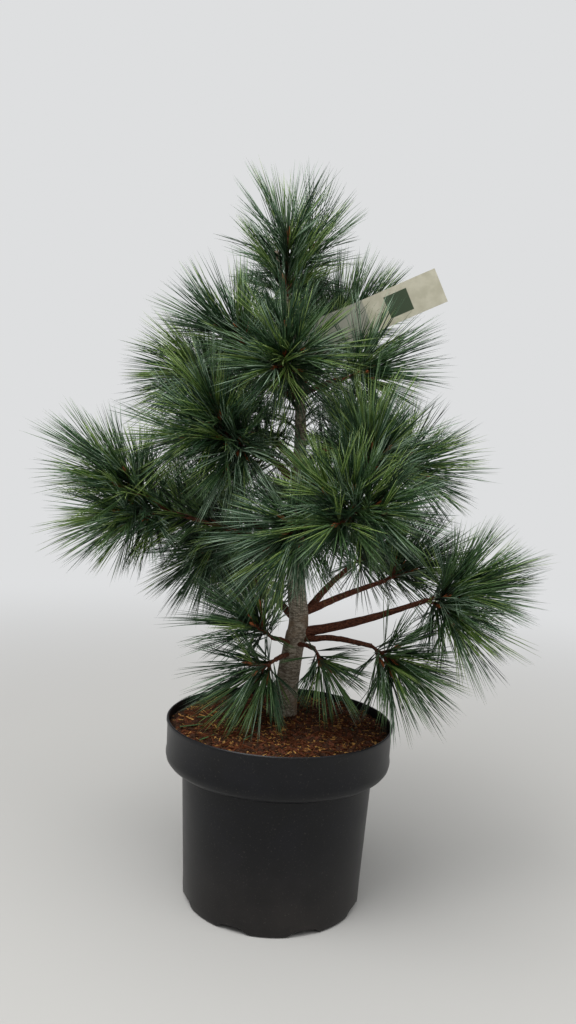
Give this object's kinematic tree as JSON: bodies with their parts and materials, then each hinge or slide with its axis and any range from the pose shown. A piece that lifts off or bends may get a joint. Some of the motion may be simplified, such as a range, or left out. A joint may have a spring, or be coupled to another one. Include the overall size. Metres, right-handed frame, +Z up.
{
  "type": "potted eastern white pine",
  "caption": "Young eastern white pine with a leaning trunk, whorls of boughs and soft long needles, standing in a round black nursery container of dark soil, with a bare card label.",
  "frame": {"origin": "centre of the container's flat underside", "axes": "+Z up, -Y towards the viewer of the picture, +X to that viewer's right"},
  "size_m": [0.6536, 0.5282, 0.9103],
  "materials": {
    "container": "moulded polypropylene, satin black with a dusty bloom",
    "soil": "moist bark and peat potting mix",
    "bark": "smooth grey-brown young bark",
    "young_bark": "red-brown bark of young boughs",
    "needles": "soft long needles, green outside and bluish inside",
    "card": "bare label card"
  },
  "bodies": {
    "root": {"bough_back_left": "young_bark", "bough_back_right": "young_bark", "bough_front_left": "young_bark", "bough_front_right": "young_bark", "bough_left_long": "young_bark", "bough_left_low": "young_bark", "bough_low_back": "young_bark", "bough_low_back_right": "young_bark", "bough_low_front": "young_bark", "bough_low_left": "young_bark", "bough_low_mid": "young_bark", "bough_low_right": "young_bark", "bough_mid_back": "young_bark", "bough_mid_back_left": "young_bark", "bough_mid_front": "young_bark", "bough_mid_left": "young_bark", "bough_mid_right": "young_bark", "bough_right_inner": "young_bark", "bough_right_long": "young_bark", "bough_upper_back": "young_bark", "bough_upper_back_left": "young_bark", "bough_upper_back_right": "young_bark", "bough_upper_front": "young_bark", "bough_upper_left": "young_bark", "bough_upper_right": "young_bark", "bough_upper_side": "young_bark", "needles_back_left": "needles", "needles_back_right": "needles", "needles_front_left": "needles", "needles_front_right": "needles", "needles_leader": "needles", "needles_left_long": "needles", "needles_left_long_high": "needles", "needles_left_low": "needles", "needles_low_back": "needles", "needles_low_back_right": "needles", "needles_low_front": "needles", "needles_low_left": "needles", "needles_low_mid": "needles", "needles_low_right": "needles", "needles_mid_back": "needles", "needles_mid_back_left": "needles", "needles_mid_front": "needles", "needles_mid_left": "needles", "needles_mid_left_low": "needles", "needles_mid_right": "needles", "needles_right_inner": "needles", "needles_right_long": "needles", "needles_right_long_low": "needles", "needles_upper_back": "needles", "needles_upper_back_left": "needles", "needles_upper_back_right": "needles", "needles_upper_front": "needles", "needles_upper_left": "needles", "needles_upper_right": "needles", "needles_upper_side": "needles", "plant_label": "card", "pot": "container", "soil": "soil", "trunk": "bark"}
  },
  "joints": []
}
